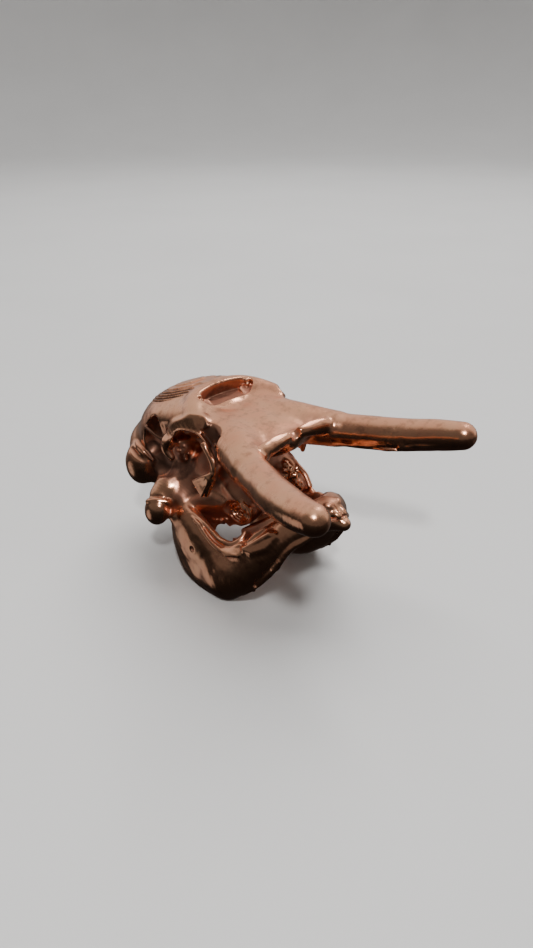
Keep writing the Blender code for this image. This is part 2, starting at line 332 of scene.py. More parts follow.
def add_face(clay):
    # Forehead, down to the brow over the nasal opening.
    clay.add(Ellipsoid((0, 21.5, 12.0), (12.6, 11, 6.5), lift=-22), 4.0)
    clay.add(Ellipsoid((8.2, 25.5, 9.4), (5.0, 7.5, 4.6), lift=-25), 2.0)
    crest = [(0, 27.4, 13.4), (6, 28.0, 12.4), (9.5, 30.0, 10.0), (11.6, 32.6, 6.6)]
    clay.add(Limb(crest, [3.1, 3.0, 2.6, 2.3]), 1.5)
    brow = [(11.6, 32.6, 6.4), (12.6, 29.5, 7.6), (13.0, 25, 8.6), (13.4, 21.4, 8.0)]
    clay.add(Limb(brow, [2.3, 2.4, 2.2, 1.7]), 1.0)
    # A broad plate, sunk along the middle, between the two tusk sockets.
    clay.add(Ellipsoid((0, 33, 1.8), (12, 13, 4.4), lift=-41), 2.5)
    clay.add(Ellipsoid((0, 38.6, -2.4), (9, 7.0, 2.6), lift=-41), 1.5)
    clay.add(Limb([(7.0, 31, 2.6), (9.2, 37.3, -2.0), (12.8, 43.4, -7.2)], [5.0, 4.8, 3.9]), 2.5)
    clay.add(Limb([(0, 43.4, -5.4), (3, 44.7, -5.2), (9, 44.4, -6.0)], [1.2, 1.2, 1.6]), 1.2)
    # Upper jaw, and the wing of bone behind it.
    clay.add(Ellipsoid((0, 25.5, -3.5), (11.0, 8.0, 8.5)), 3.0)
    clay.add(Ellipsoid((6.2, 26, -10.5), (4.3, 6.4, 5.4)), 2.0)
    clay.add(Limb([(8.6, 28.0, -8.0), (8.6, 29.2, -12.0), (8.0, 30.2, -15.4)], [1.8, 1.4, 1.0]), 1.0)
    clay.add(Limb([(7.5, 14, -4.5), (8.2, 14.2, -9.5), (8.6, 15, -13)], [4.6, 3.8, 2.4]), 2.0)


def cut_openings(clay):
    # Hollow of the temple, opening forwards under the hooked process into the eye socket.
    clay.cut(Ellipsoid((15.4, 14.2, 11.6), (5.6, 6.0, 3.0), lift=40), 0.6)
    clay.cut(Limb([(15.0, 12.5, 9.5), (14.6, 15.5, 5.6), (14.6, 20.5, 1.8)], [2.2, 2.8, 3.6]), 1.2)
    clay.cut(Ellipsoid((14.5, 27.0, 1.2), (6.0, 7.2, 5.8), lift=-12), 0.8)
    # Nasal opening.
    clay.cut(Ellipsoid((0, 29.9, 11.0), (8.2, 2.3, 6.5), lift=-42), 0.5)
    # Nape: the great foramen, and the hollow above it for the nape's ligament.
    clay.cut(Limb([(0, -6, 2.6), (0, 3, 4.2)], [1.9, 1.8]), 0.6)
    clay.cut(Ellipsoid((0, -3.0, 13), (3.6, 7.0, 7.5), lift=-15), 3.0)
    # Palate.
    clay.cut(Ellipsoid((0, 24, -14.5), (3.0, 11, 5.0)), 1.2)


def add_eye_rim(clay):
    """The hooked process behind the eye, and the front rim down to the cheek arch's broken front root."""
    clay.add(Limb([(13.4, 21.8, 8.0), (14.4, 19.8, 6.8), (14.2, 19.6, 4.4)], [1.7, 1.3, 0.8]), 0.6)
    rim = [(13.2, 32.6, 5.2), (14.0, 34.4, 1.4), (14.0, 33.6, -3.0), (14.4, 30.4, -5.4)]
    clay.add(Limb(rim, [1.3, 0.8, 0.7, 1.0]), 0.8)
    clay.add(Limb([(14.4, 31, -4.8), (14.8, 25.4, -4.0)], [1.1, 0.6]), 0.5)
    clay.add(Limb([(14.4, 31, -4.8), (15.0, 27.4, -7.4)], [1.1, 0.6]), 0.5)
    clay.add(Ellipsoid((14.7, 28.4, -5.3), (0.7, 2.2, 1.5), lift=20), 0.5)


def add_jaw(clay):
    # Joint head, and the broad, bowed blade below it.
    clay.add(Ellipsoid((13.5, 11.0, -7.6), (3.6, 2.4, 2.2)))
    ramus = [(14.4, 12.6, -9.4), (14.8, 12.2, -15.5), (13.8, 13.6, -22.5)]
    clay.add(Limb(ramus, [4.6, 8.0, 8.0], flat=(0.38, 1, 1)), 1.5)
    corner = [(12.6, 7.0, -14), (11.2, 4.8, -19.5), (11.2, 8.5, -23), (11.6, 14, -25.5)]
    clay.add(Limb(corner, [3.0, 5.0, 5.4, 5.2]), 2.5)
    # Front edge of the blade.
    coronoid = [(14.0, 17.4, -10.6), (14.6, 20.6, -15.4), (14.4, 23.4, -20.2), (13.0, 26.5, -21.8)]
    clay.add(Limb(coronoid, [1.0, 1.1, 1.2, 1.4]), 0.8)
    # Body, meeting its other half at the chin.
    body = [(12.8, 15.5, -24.6), (12.4, 21, -26.2), (10.6, 28, -24.6), (7.8, 35, -23.2)]
    body += [(3.4, 41, -22.4), (0, 43, -22.4)]
    clay.add(Limb(body, [5.6, 4.9, 4.5, 3.8, 3.5, 3.5], flat=(0.8, 1, 1)), 2.0)
    clay.add(Limb([(0, 42, -23), (0, 44.6, -24.8), (0, 46.2, -26.4)], [3.2, 2.3, 1.5]), 1.5)
    clay.add(Ellipsoid((0.9, 44.9, -22.1), (1.6, 1.8, 1.8)), 0.8)
    clay.cut(Ellipsoid((0, 35, -18.5), (3.6, 8.5, 3.2)), 1.2)
    clay.cut(Ellipsoid((0, 20, -23.5), (6.0, 16, 12)), 1.2)


def add_molars(clay):
    upper = [(7.8, 20.5, -14.2), (7.0, 25, -14.6), (6.2, 29.0, -14.4)]
    lower = [(9.2, 22, -20.3), (8.2, 28, -20.4), (6.8, 34, -20.3)]
    clay.add(Limb(upper, [2.4, 2.8, 2.4], flat=(0.66, 1, 1)), 0.5)
    clay.add(Limb(lower, [2.6, 2.8, 2.4], flat=(0.66, 1, 1)), 0.5)


def oval(centre, front_radius, up_radius, tilt, count=9):
    """Points round an oval in the side plane, its front end turned down by tilt degrees."""
    cos, sin = math.cos(math.radians(tilt)), math.sin(math.radians(tilt))
    points = []
    for k in range(count):
        turn = 2 * math.pi * k / (count - 1)
        f, u = front_radius * math.cos(turn), up_radius * math.sin(turn)
        points.append((centre[0], centre[1] + f * cos + u * sin, centre[2] - f * sin + u * cos))
    return points


def scatter(clay, path, count, sizes, spread, rng, blend):
    """Grown nodules: small balls strewn along a path."""
    path = np.array(path, float)
    for _ in range(count):
        step = rng.random() * (len(path) - 1)
        k = min(int(step), len(path) - 2)
        place = path[k] + (path[k + 1] - path[k]) * (step - k) + rng.normal(0.0, 1.0, 3) * spread
        size = sizes[0] + (sizes[1] - sizes[0]) * rng.random() ** 2
        stretch = 0.8 + 0.5 * rng.random(3)
        clay.add(Ellipsoid(tuple(place), tuple(size * stretch)), blend)


def detail_orbit(clay, rng):
    """The steep side of the brow, the thin rim of the eye socket below it, and the socket's inside."""
    top = [(13.2, 21.0, 10.8), (13.5, 24.6, 10.8), (13.4, 28.0, 10.4), (12.6, 33.1, 9.1), (11.5, 34.6, 7.8)]
    low = [(14.6, 22.6, 8.4), (14.2, 25.4, 8.2), (13.8, 28.6, 7.6), (13.2, 32.0, 5.2), (12.8, 33.2, 3.6)]
    clay.cut(Strip(top, low, 2.6), 0.5)
    roof = [(13.9, 24.8, 6.9), (13.6, 27.3, 6.8), (13.2, 29.8, 5.6), (12.8, 32.0, 3.8), (12.8, 32.9, 1.8)]
    clay.cut(Limb(roof, [0.9, 1.2, 1.2, 1.1, 0.8]), 0.3)
    # The dark hollow between the rim and the tusk socket, with small grains in it.
    hollow = [(12.2, 33.2, 5.0), (11.2, 36.0, 4.6), (11.2, 37.0, 0.8)]
    hollow += [(11.8, 35.6, -1.8), (12.5, 33.6, -1.8)]
    clay.cut(Block(hollow, TOWARD_CAMERA, 2.5), 0.8)
    gap = [(12.9, 36.6, 3.2), (13.3, 35.8, 0.6), (13.2, 35.2, -2.4), (13.2, 33.2, -5.6)]
    clay.cut(Limb(gap, [1.2, 1.1, 1.1, 0.8]), 0.3)
    grains = [(12.0, 35.0, 1.6), (12.2, 35.0, 0.4), (12.0, 34.4, -1.2)]
    scatter(clay, grains, 9, (0.2, 0.4), 0.3, rng, 0.3)
    # The thin rim, and the flat, three-cornered plate at its end.
    rim = [(14.3, 24.6, 8.4), (14.0, 27.2, 8.3), (13.6, 29.8, 7.1), (13.2, 32.2, 5.3), (13.1, 33.5, 3.2)]
    rim += [(13.5, 34.2, 0.5), (14.0, 34.4, -2.5), (14.7, 32.8, -4.6)]
    clay.add(Limb(rim, [0.1, 0.15, 0.15, 0.2, 0.3, 0.42, 0.45, 0.4]), 0.2)
    plate = [(14.7, 33.0, -4.4), (15.2, 29.7, -3.8), (15.3, 25.4, -3.3)]
    plate += [(15.9, 26.9, -7.2), (15.5, 29.4, -6.0)]
    clay.add(Plate(plate, 0.7), 0.3)
    # A pocket under the brow, and a rough bulge below it on the socket's back wall.
    clay.cut(Ellipsoid((11.8, 23.6, 7.8), (2.4, 3.2, 1.7), lift=-20), 0.5)
    clay.add(Ellipsoid((10.4, 19.8, 5.0), (1.8, 3.0, 2.0), lift=30), 1.4)
    rough = [(11.4, 21.6, 6.6), (11.9, 20.8, 4.6), (11.6, 20.6, 2.6)]
    scatter(clay, rough, 40, (0.2, 0.45), 0.7, rng, 0.25)
    clay.ridge([(9.6, 25.6, 6.0), (9.4, 27.4, 2.6), (9.8, 28.6, -1.4)], 0.6, 0.5)
    clay.groove([(10.4, 23.0, 4.6), (9.8, 24.6, 1.8), (10.4, 24.8, -1.2)], 0.7, 0.6)


def detail_temple(clay):
    # The hollow of the temple, wider towards the brow, and the furrow from it to the neck of the knob.
    clay.cut(Ellipsoid((14.6, 15.8, 12.2), (4.6, 4.4, 2.9), lift=42), 0.5)
    clay.cut(Limb([(14.2, 13.8, 10.4), (13.9, 12.6, 7.4), (13.9, 14.6, 4.2)], [2.2, 1.9, 1.3]), 0.6)
    clay.cut(Limb([(15.2, 10.0, 6.4), (14.6, 12.6, 4.4), (13.8, 15.8, 2.8)], [1.5, 2.3, 1.8]), 0.8)
    # A thin, broken strut across it.
    strut = [(13.2, 13.4, 14.4), (13.4, 15.1, 12.5), (13.2, 16.0, 11.0), (12.7, 16.9, 9.6)]
    clay.add(Limb(strut, [0.4, 0.35, 0.3, 0.5]), 0.3)
    # The sharp crest above the ball at the corner of the occiput.
    clay.ridge([(13.8, 6.4, 13.4), (14.3, 7.6, 11.8), (14.2, 8.6, 9.8), (13.4, 8.8, 7.2)], 0.5, 0.4)
    clay.groove([(14.9, 5.2, 12.4), (15.6, 6.9, 10.2), (15.0, 7.9, 8.0)], 0.6, 0.8)


def detail_knob(clay):
    """The broken root of the cheek arch: a round knob with a flat, rimmed top, below a waisted neck."""
    neck = [(12.2, 8.6, 4.8), (13.2, 9.2, 2.2), (14.6, 9.8, 0.4), (16.7, 10.1, -0.9)]
    clay.add(Limb(neck, [1.3, 1.3, 1.4, 1.4]), 1.6)
    clay.add(Ellipsoid((14.5, 13.1, -1.3), (1.8, 1.8, 1.8)), 1.4)
    clay.add(Ellipsoid((18.6, 9.4, -2.9), (1.8, 2.6, 1.5)), 0.6)
    rim = [(19.7, 9.6, -1.8), (19.4, 11.0, -2.1), (18.7, 12.3, -2.8), (17.3, 13.4, -4.0)]
    clay.add(Limb(rim, [0.7, 0.9, 0.9, 0.6]), 0.35)
    clay.groove([(20.0, 9.8, -0.5), (19.4, 11.8, -1.1), (17.9, 13.4, -2.3)], 0.5, 0.3)
    clay.add(Ellipsoid((16.8, 13.0, -4.2), (0.9, 0.9, 0.9)), 0.3)
    clay.cut(Ellipsoid((16.6, 13.9, -6.0), (0.8, 1.1, 0.8)), 0.3)
    # The smooth wall between the neck, the tooth socket and the wing of bone behind the palate.
    wall = [(12.8, 15.5, -7.0), (11.6, 19.4, -7.2), (10.8, 22.6, -8.2), (10.0, 25.0, -11.0)]
    wall += [(9.3, 22.4, -13.0), (9.5, 18.6, -12.8), (10.9, 16.6, -11.0)]
    clay.add(Plate(wall, 1.8), 1.2)


def detail_upper_jaw(clay, rng):
    # Rings of the tooth socket, nested in an oval.
    clay.cut(Ellipsoid((10.6, 27.3, -13.9), (1.4, 4.2, 2.8), lift=-24), 0.4)
    for share in (1.0, 0.74, 0.48, 0.22):
        centre = (9.5, 28.6 - 1.3 * share, -14.6 + 0.6 * share)
        clay.ridge(oval(centre, 4.1 * share, 2.8 * share, 24), 0.36, 0.2)
    scatter(clay, [(9.4, 29.8, -12.2), (9.3, 30.4, -15.2)], 7, (0.3, 0.6), 0.3, rng, 0.4)
    # Rough growth along the wall's lower edge, in the mouth, and the blade at the mouth's edge.
    edge = [(10.6, 17.0, -12.0), (9.9, 19.6, -13.6), (9.6, 22.6, -13.9)]
    scatter(clay, edge, 26, (0.25, 0.6), 0.35, rng, 0.3)
    growth = [(4.4, 32.0, -9.0), (5.0, 31.9, -11.0), (5.4, 31.8, -12.6), (6.0, 31.5, -14.8)]
    scatter(clay, growth, 60, (0.3, 0.7), (0.6, 0.4, 0.5), rng, 0.2)
    blade = [(7.6, 31.6, -8.7), (7.6, 31.9, -10.4), (7.4, 33.1, -12.8)]
    blade += [(7.2, 33.4, -14.4), (6.8, 33.6, -16.0)]
    clay.add(Limb(blade, [0.5, 0.7, 0.7, 0.7, 0.7], flat=(1, 0.8, 1)), 0.4)


def detail_nose(clay):
    """The floor of the nasal opening, level with its low front rim, its rising ends, and its back rim."""
    floor = [(-2, 27.8, 13.1), (9, 27.8, 13.1), (9, 31.3, 9.0), (-2, 31.3, 9.0)]
    clay.add(Block(floor, (0, -0.677, -0.736), 4.0), 0.2)
    ramp = [(4.4, 31.0, 9.0), (4.6, 29.74, 12.0), (8.5, 29.3, 13.5), (8.8, 30.82, 10.0)]
    clay.add(Block(ramp, (0, -0.92, -0.39), 3.0), 0.15)
    beads = [(0.7, 29.9, 14.6), (3.0, 29.4, 14.5), (6.5, 30.0, 13.5), (7.0, 30.6, 12.9), (6.9, 30.4, 12.0)]
    for place in beads:
        clay.add(Ellipsoid(place, (0.6, 0.5, 0.5)), 0.3)


def detail_face_plate(clay):
    # A sharp, bevelled lip along each half of the plate's end, with a notch between them.
    lip = [(1.4, 45.6, -4.8), (4.0, 45.7, -4.8), (7.0, 45.7, -5.0), (9.4, 45.6, -5.5), (11.4, 44.0, -6.8)]
    clay.add(Limb(lip, [0.9, 1.2, 1.2, 1.1, 0.8], flat=(1, 0.7, 1)), 0.8)
    bevel = [(-2.0, 45.6, -2.6), (10.0, 45.6, -2.6), (9.4, 47.3, -6.6), (-2.0, 47.3, -6.6)]
    clay.cut(Block(bevel, (0, 0.92, 0.39), 3.0), 0.15)
    clay.cut(Ellipsoid((0, 45.9, -4.5), (1.5, 1.7, 1.7)), 0.4)
    # A rough hollow behind it.
    clay.groove([(2.4, 43.2, -8.6), (5.0, 43.4, -9.4), (7.4, 43.6, -10.2)], 0.7, 0.8)


def detail_tusk(clay, rng):
    """Runs of metal that dripped and froze along the underside of the tusk."""
    line = [(8.6, 41.6, -8.0), (12.6, 47.8, -13.2), (15.6, 55.6, -18.4), (19.2, 63.6, -23.0)]
    curve = np.array(spline(line, steps=8))
    for _ in range(16):
        start = int(rng.integers(3, len(curve) - 6))
        length = int(rng.integers(3, 7))
        lift = rng.uniform(-0.4, 1.5)
        points = [tuple(p + (-0.25 * lift, 0.1 * lift, lift)) for p in curve[start : start + length : 2]]
        if len(points) > 1:
            clay.ridge(points, rng.uniform(0.25, 0.5), 0.35)


def detail_jaw(clay, rng):
    # Two sharp ridges with a furrow between them, down the blade's front edge.
    outer = [(15.4, 17.7, -10.0), (15.9, 19.9, -12.3), (16.1, 20.6, -14.3), (16.1, 21.4, -16.6)]
    outer += [(16.0, 22.5, -18.7), (15.5, 24.4, -20.8), (14.9, 26.8, -22.4)]
    inner = [(14.7, 17.8, -9.4), (14.9, 20.2, -12.2), (15.0, 21.6, -14.3), (15.0, 22.7, -16.5)]
    inner += [(14.5, 23.6, -18.2), (13.6, 25.0, -19.6), (12.0, 26.6, -19.6), (10.6, 27.4, -18.6)]
    furrow = [(15.5, 20.4, -13.0), (15.7, 21.5, -15.4), (15.6, 22.5, -17.6), (15.1, 23.8, -19.4)]
    clay.ridge(outer, 0.6, 0.3)
    clay.ridge(inner, 0.65, 0.3)
    clay.groove(furrow, 0.42, 0.2)
    clay.groove([(14.8, 24.6, -21.0), (14.0, 26.2, -21.2)], 0.3, 0.2)
    # The gap between the two ledges and the blade, open right through.
    clay.cut(Limb([(10.9, 18.4, -15.7), (4.5, 9.5, -15.2)], [1.3, 1.3]), 0.3)
    clay.cut(Limb([(11.2, 24.2, -17.7), (5.3, 16.0, -17.2)], [1.5, 1.5]), 0.3)
    # A straight ledge beside the lower teeth, and the broad, flat facet below it.
    clay.ridge([(12.6, 29.8, -20.7), (11.3, 32.0, -20.2), (10.0, 33.8, -19.8)], 0.6, 0.25)
    clay.groove([(12.9, 30.2, -21.8), (11.7, 32.8, -21.4), (10.4, 35.4, -21.0)], 0.45, 0.3)
    facet = [(13.6, 28.8, -21.8), (11.9, 33.0, -21.5), (10.9, 36.0, -21.2)]
    facet += [(10.3, 36.8, -22.0), (11.9, 34.2, -23.4), (13.4, 30.4, -23.0)]
    clay.add(Plate(facet, 0.8), 1.4)
    # A small step that faces upwards, at the corner under the gap.
    step = [(15.7, 23.9, -19.6), (13.9, 27.0, -21.0), (14.6, 27.4, -22.0), (16.2, 24.8, -21.0)]
    clay.face(step, toward=(0.4, 0.6, 0.7), depth=0.8, blend=0.3)
    clay.cut(Ellipsoid((15.4, 26.4, -20.6), (0.9, 0.8, 0.25), lift=-30), 0.15)
    # A pit and a bowed furrow on the blade.
    clay.cut(Ellipsoid((17.9, 14.6, -16.5), (0.8, 0.8, 0.6), lift=30), 0.25)
    clay.groove([(18.0, 17.6, -14.4), (18.2, 19.4, -18.4), (18.0, 18.0, -23.0)], 0.5, 1.2)
    # The torn, rough flange along the lower edge, running on to the chin.
    flange = [(13.0, 18.6, -31.0), (12.6, 24.6, -30.2), (11.6, 28.4, -29.4), (10.6, 32.8, -28.0)]
    flange += [(9.6, 35.6, -26.6), (8.4, 38.0, -25.8), (6.6, 40.0, -25.6), (3.4, 42.6, -25.4)]
    clay.ridge(flange, 0.75, 0.5)
    scatter(clay, flange[:5], 80, (0.25, 0.5), 0.3, rng, 0.35)
    # Nodules grown on the chin.
    chin = [(1.5, 45.4, -19.8), (1.2, 46.6, -23.4), (0.7, 46.2, -25.4)]
    scatter(clay, chin, 7, (0.3, 0.55), 0.35, rng, 0.6)
    clay.groove([(2.6, 44.8, -23.6), (1.4, 46.4, -24.6), (0.0, 47.2, -24.8)], 0.3, 0.3)


class Noise:
    """Smooth random values in space, from a seeded lattice."""

    SIZE = 32

    def __init__(self, seed):
        self.lattice = np.random.default_rng(seed).uniform(-1, 1, (self.SIZE,) * 3).astype(np.float32)

    def __call__(self, places, grain):
        steps = places / grain
        low = np.floor(steps).astype(np.int64)
        part = steps - low
        part = part * part * (3 - 2 * part)
        found = np.zeros(len(places), np.float32)
        for corner in range(8):
            ahead = np.array([corner >> k & 1 for k in range(3)])
            weight = np.where(ahead, part, 1 - part).prod(1)
            index = (low + ahead) % self.SIZE
            found += weight * self.lattice[index[:, 0], index[:, 1], index[:, 2]]
        return found


def skull_clay():
    """All the forms, pressed together and carved in order."""
    clay = Clay()
    rng = np.random.default_rng(SEED)
    add_braincase(clay)
    add_face(clay)
    add_tusk(clay)
    cut_openings(clay)
    add_eye_rim(clay)
    jaw = Clay()
    add_jaw(jaw)
    clay.field = smooth_min(clay.field, jaw.field, 0.8)
    add_molars(clay)
    detail_orbit(clay, rng)
    detail_temple(clay)
    detail_knob(clay)
    detail_upper_jaw(clay, rng)
    detail_nose(clay)
    detail_face_plate(clay)
    detail_tusk(clay, rng)
    detail_jaw(clay, rng)
    return clay


def surface_of(clay):
    """Points and quads of the zero surface on both sides, in the skull's own pose."""
    field = clay.field[np.searchsorted(clay.axes[0], -0.5 * CELL) :]
    first = -(len(field) - 1) * CELL
    field = np.concatenate([field[:0:-1], field])
    grid = openvdb.FloatGrid(float(2 * clay.MARGIN))
    grid.copyFromArray(np.ascontiguousarray(field, np.float32))
    points, _, quads = grid.convertToPolygons(isovalue=0.0, adaptivity=0.0)
    points = points * CELL + (first, clay.axes[1][0], clay.axes[2][0])
    return points.astype(np.float64), quads[:, ::-1]


def largest(points, quads):
    """The surface without its loose scraps."""
    label = np.arange(len(points))
    ends = np.concatenate([quads[:, [k, (k + 1) % 4]] for k in range(4)])
    while True:
        least = label.copy()
        np.minimum.at(least, ends[:, 0], label[ends[:, 1]])
        np.minimum.at(least, ends[:, 1], label[ends[:, 0]])
        least = least[least]
        if (least == label).all():
            break
        label = least
    names, counts = np.unique(label, return_counts=True)
    keep = label == names[counts.argmax()]
    fresh = np.cumsum(keep) - 1
    return points[keep], fresh[quads[keep[quads[:, 0]]]]


def normals_of(points, quads):
    across = np.cross(points[quads[:, 2]] - points[quads[:, 0]], points[quads[:, 3]] - points[quads[:, 1]])
    total = np.zeros_like(points)
    for k in range(4):
        np.add.at(total, quads[:, k], across)
    return total / np.maximum(np.linalg.norm(total, axis=1, keepdims=True), 1e-12)


def settled(clay, points, quads):
    """The points drawn onto the zero surface, without the ripple that a grid leaves."""
    for _ in range(2):
        points = points - normals_of(points, quads) * np.clip(clay.at(points), -0.1, 0.1)[:, None]
    return points


def shelter(clay, points, normals, reaches=(0.7, 1.5, 2.8, 4.5, 7.0, 11.0)):
    """The share of each place's view that metal blocks, looking straight out and six ways around."""
    # Two directions across each normal, from one that hardly any normal shares.
    side = np.cross(normals, (0.31, 0.53, 0.79))
    side /= np.maximum(np.linalg.norm(side, axis=1, keepdims=True), 1e-6)
    over = np.cross(normals, side)
    closed = np.zeros(len(points), np.float32)
    for k in range(7):
        way = normals
        if k:
            # 60 degrees off the normal.
            turn = math.pi * k / 3
            way = 0.5 * normals + 0.866 * (side * math.cos(turn) + over * math.sin(turn))
        met = np.zeros(len(points), np.float32)
        for reach in reaches:
            met = np.maximum(met, np.clip(1 - clay.at(points + way * reach) / (0.3 * reach), 0, 1))
        closed += met
    return closed / 7


def wear(clay, points, normals, depth=0.9):
    """How sharp an edge each place lies on, and how far it faces upwards."""
    edge = np.clip(1 + clay.at(points - normals * depth) / depth, 0, 1)
    tip = math.radians(TIP_BACK)
    upward = np.clip(2.2 * (normals[:, 1] * math.sin(tip) + normals[:, 2] * math.cos(tip)) - 1.1, 0, 1)
    return np.clip(1.6 * edge, 0, 1), upward


# Places painted with shade, red and dull or near black and dull, and places kept free of it and glossy.
# Each is an ellipsoid's centre, radii and lift, and a strength.
# Painted shade: these recesses turn redder, darker and rougher.
SHADED_DULL_ZONES = [
    ((0, 29.9, 11.4), (7.6, 2.8, 5.4), -42, 0.6),  # nasal opening
    ((13.2, 17.0, -1.5), (4.2, 7.5, 6.0), 0, 0.6),  # wall between the eye socket and the knob
    ((12.5, 20.0, -9.0), (3.5, 8.0, 5.0), 0, 0.5),  # wall over the tooth socket
    ((1.6, 45.4, -21.0), (2.6, 3.0, 3.0), 0, 0.4),  # chin
]
# Painted shade: near black and rough in these hollows.
DARK_SHADED_ZONES = [
    ((13.2, 15.2, 11.6), (3.6, 4.6, 4.4), 40, 0.8),  # hollow of the temple
    ((13.4, 13.0, 6.4), (3.4, 6.5, 4.2), 20, 0.8),  # furrow above the neck
    ((12.6, 10.4, 9.4), (2.6, 2.8, 2.6), 0, 0.9),  # foot of the temple's hollow
    ((13.0, 19.0, 1.6), (4.0, 7.0, 3.6), 0, 0.5),  # wall in front of the furrow
    ((11.8, 35.4, 2.0), (2.4, 3.4, 5.6), -20, 0.9),  # hollow beside the eye socket's rim
    ((0, 28.6, 12.0), (5.8, 2.0, 3.0), -42, 0.45),  # nasal opening
]
# Kept free of the painted shade of the hollows, and glossier.
UNSHADED_GLOSSY_ZONES = [
    ((5.4, 31.8, -12.0), (2.6, 2.6, 5.0), 0, 0.8),  # growth in the mouth
    ((15.2, 13.8, -1.2), (2.2, 2.2, 2.2), 0, 1.0),  # boss on the neck of the knob
    ((9.6, 28.0, -14.0), (1.6, 4.6, 3.4), 0, 0.5),  # rings of the tooth socket
]


def zones(places, points):
    """How far the points lie in any of these places, up to each one's strength."""
    found = np.zeros(len(points))
    for centre, radii, lift, strength in places:
        deep = -Ellipsoid(centre, radii, lift)((np.abs(points[:, 0]), points[:, 1], points[:, 2]))
        found = np.maximum(found, np.clip(deep, 0, 1) * strength)
    return found


def worked(points, normals):
    """The points moved as printing and plating leave a surface, and where the treads of its terraces lie."""
    waves, grains = Noise(SEED + 1), Noise(SEED + 2)
    push = WAVES[0] * waves(points, WAVES[1]) + GRAINS[0] * grains(points, GRAINS[1])
    on_tusk = np.clip(points[:, 1] / 6 - 7.5, 0, 1)
    push += TUSK_WAVES[0] * on_tusk * waves(points, TUSK_WAVES[1])
    # The terraces, on the crown behind the nasal opening.
    front, up = LAYER_AXIS
    reach = np.linalg.norm((points - CROWN)[:, :2] / CROWN_REACH, axis=1)
    share = np.clip(12 - 12 * reach, 0, 1) * np.clip(points[:, 2] - 13, 0, 1)
    height = (front * points[:, 1] + up * points[:, 2] + 0.06 * waves(points, 4.0)) / LAYER
    slope = np.maximum(front * normals[:, 1] + up * normals[:, 2], 0.5)
    step = height - np.floor(height)
    push -= 0.9 * LAYER * share * (step - 0.5) / slope
    steep = np.sqrt(np.clip(1 - slope**2, 0, 1))
    # The darker part of each step on steep ground, painted as shade.
    treads = share * np.clip(8 * step - 1, 0, 1) * np.clip(5 * steep - 0.8, 0, 1)
    return points + normals * push[:, None], treads


def posed(points):
    """The points tipped back into the resting pose, in metres in the row frame."""
    cos, sin = math.cos(math.radians(TIP_BACK)), math.sin(math.radians(TIP_BACK))
    side, front, up = points.T
    back = REST_BACK - (front * cos - up * sin)
    height = REST_HEIGHT + front * sin + up * cos
    return MM * np.stack([side, back, height], 1)


def cut_at_floor(mesh):
    """The mesh cut flat and closed at z = 0."""
    bm = bmesh.new()
    bm.from_mesh(mesh)
    bmesh.ops.bisect_plane(
        bm,
        geom=bm.verts[:] + bm.edges[:] + bm.faces[:],
        plane_co=(0, 0, 0),
        plane_no=(0, 0, -1),
        clear_outer=True,
    )
    bmesh.ops.holes_fill(bm, edges=[e for e in bm.edges if e.is_boundary])
    bm.to_mesh(mesh)
    bm.free()


def make_skin():
    clay = skull_clay()
    points, quads = largest(*surface_of(clay))
    if (normals_of(points, quads) * (points - points.mean(0))).sum() < 0:
        quads = quads[:, ::-1]
    points = settled(clay, points, quads)
    normals = normals_of(points, quads)
    # Painted shade: the share of each place's view that metal blocks, with the zones added and spared; it
    # also roughens the copper.
    hollow = shelter(clay, points, normals)
    hollow = np.maximum(hollow, zones(SHADED_DULL_ZONES, points)) * (1 - zones(UNSHADED_GLOSSY_ZONES, points))
    # Painted dark shade in the zones and on the terrace treads; it also roughens the copper.
    painted_dark_shade = zones(DARK_SHADED_ZONES, points)
    edge, upward = wear(clay, points, normals)
    moved, treads = worked(points, normals)
    painted_dark_shade = np.maximum(painted_dark_shade, 0.9 * treads)
    # Kept within the solids' box, apart from what is cut off below the floor.
    low, high = (np.array(corner) for corner in cad_box)
    placed = np.clip(posed(moved), low * [1, 1, 0] - [0, 0, 1], high)
    mesh = bpy.data.meshes.new("skull_skin")
    mesh.from_pydata(placed, [], quads)
    for name, values in (("hollow", hollow), ("painted_dark_shade", painted_dark_shade), ("edge", edge), ("upward", upward)):
        mesh.attributes.new(name, "FLOAT", "POINT").data.foreach_set("value", values.astype(np.float32))
    mesh.update()
    cut_at_floor(mesh)
    mesh.shade_smooth()
    mesh.materials.append(copper_material())
    skin = bpy.data.objects.new("skull_skin", mesh)
    bpy.context.scene.collection.objects.link(skin)
    return skin


